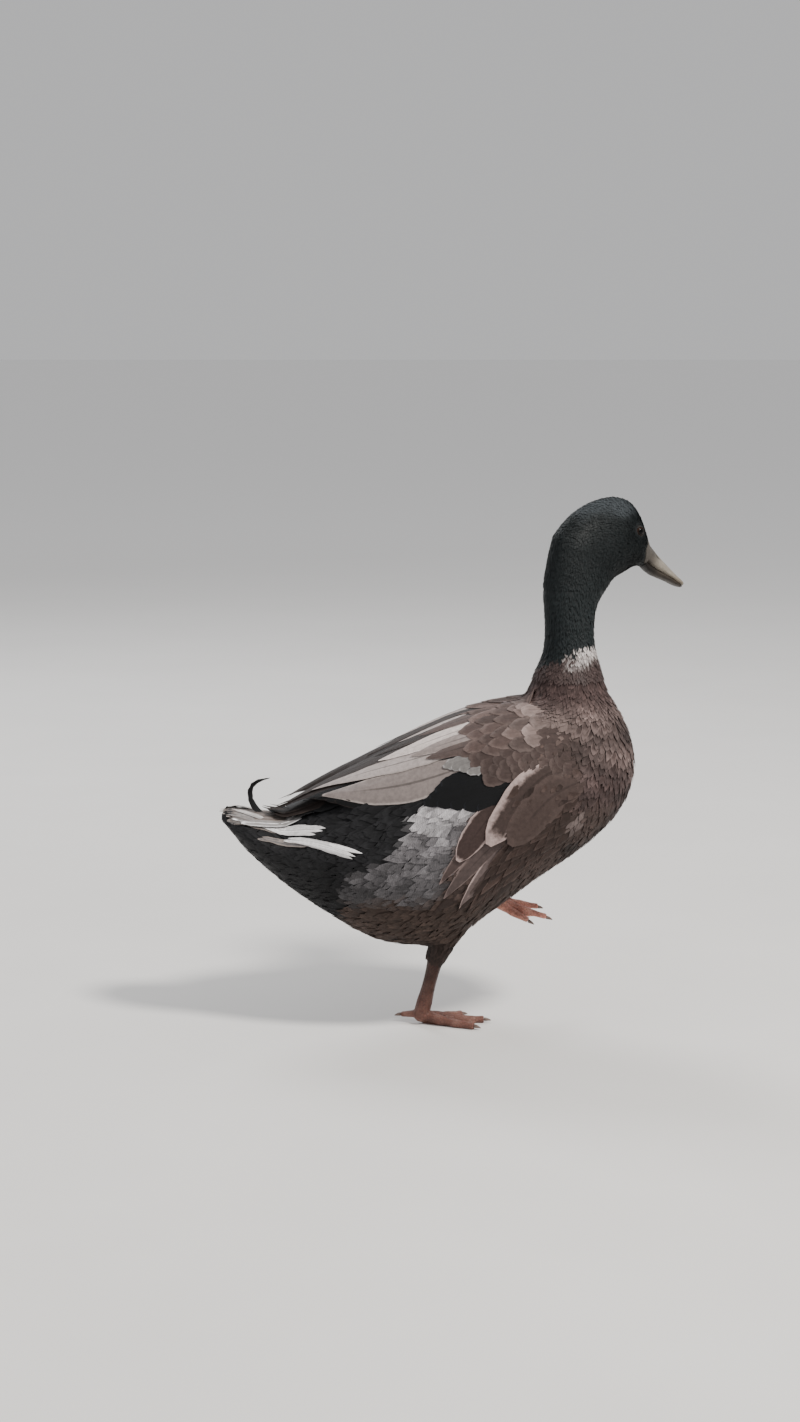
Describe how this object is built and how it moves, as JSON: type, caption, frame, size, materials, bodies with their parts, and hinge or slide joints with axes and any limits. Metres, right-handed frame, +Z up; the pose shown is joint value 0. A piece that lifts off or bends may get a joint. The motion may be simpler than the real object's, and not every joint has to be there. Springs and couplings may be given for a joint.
{
  "type": "mallard duck",
  "caption": "Life-size still model of a mallard drake walking, one foot planted and the other lifted, neck upright, head turned slightly aside",
  "frame": {"origin": "bottom centre of the bounding box, on the floor that the planted foot stands on", "axes": "+X from tail to bill, +Y to the bird's left, +Z up"},
  "size_m": [0.4232, 0.1622, 0.4828],
  "materials": {
    "brown_plumage": "body feathers, mauve brown and grey with pale edges",
    "green_black_plumage": "short dense feathers, black with a dark green sheen",
    "grey_wing_plumage": "smooth long feathers, warm grey with dark shafts",
    "black_plumage": "black coverts and tail, with white-edged outer tail feathers",
    "olive_bill": "horny bill, grey olive, satin",
    "dark_eye": "wet dark brown eye",
    "pink_leg_skin": "scaly bare skin, salmon pink",
    "grey_claw": "horn, grey brown"
  },
  "bodies": {
    "root": {"trunk": "brown_plumage", "thigh_left": "brown_plumage", "thigh_right": "brown_plumage", "neck": "green_black_plumage", "head": "green_black_plumage", "wing_left": "grey_wing_plumage", "wing_right": "grey_wing_plumage", "tail": "black_plumage", "tail_curl": "black_plumage", "bill_upper": "olive_bill", "bill_lower": "olive_bill", "eye_left": "dark_eye", "eye_right": "dark_eye", "shank_left": "pink_leg_skin", "shank_right": "pink_leg_skin", "foot_left": "pink_leg_skin", "foot_right": "pink_leg_skin", "claw_inner_left": "grey_claw", "claw_middle_left": "grey_claw", "claw_outer_left": "grey_claw", "claw_hind_left": "grey_claw", "claw_inner_right": "grey_claw", "claw_middle_right": "grey_claw", "claw_outer_right": "grey_claw", "claw_hind_right": "grey_claw"}
  },
  "joints": []
}
